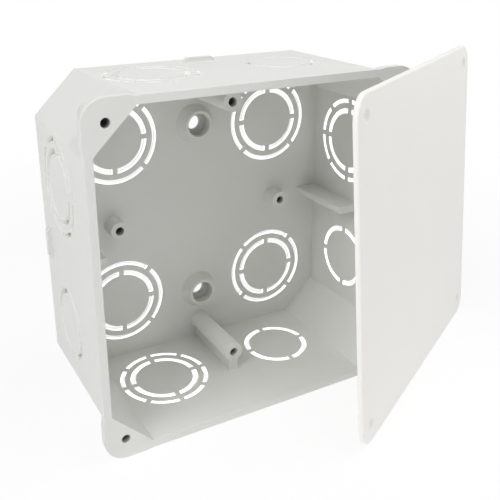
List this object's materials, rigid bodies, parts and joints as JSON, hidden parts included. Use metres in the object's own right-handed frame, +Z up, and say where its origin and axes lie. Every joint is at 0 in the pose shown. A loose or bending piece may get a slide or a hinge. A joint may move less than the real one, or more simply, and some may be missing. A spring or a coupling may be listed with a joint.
{
  "type": "junction box",
  "caption": "Square flush electrical junction box with cut corners, corner screw ears and ring knock-outs in its walls, with its flat square cover leaning beside it.",
  "frame": {"origin": "middle of the back wall's outer face, which lies against the bottom of the wall recess", "axes": "+Z up, +Y out of the back wall, so the open front faces -Y"},
  "size_m": [0.1497, 0.0782, 0.1006],
  "materials": {
    "box_plastic": "satin moulded",
    "cover_plastic": "satin moulded"
  },
  "bodies": {
    "root": {"box_body": "box_plastic", "cover": "cover_plastic"}
  },
  "joints": []
}
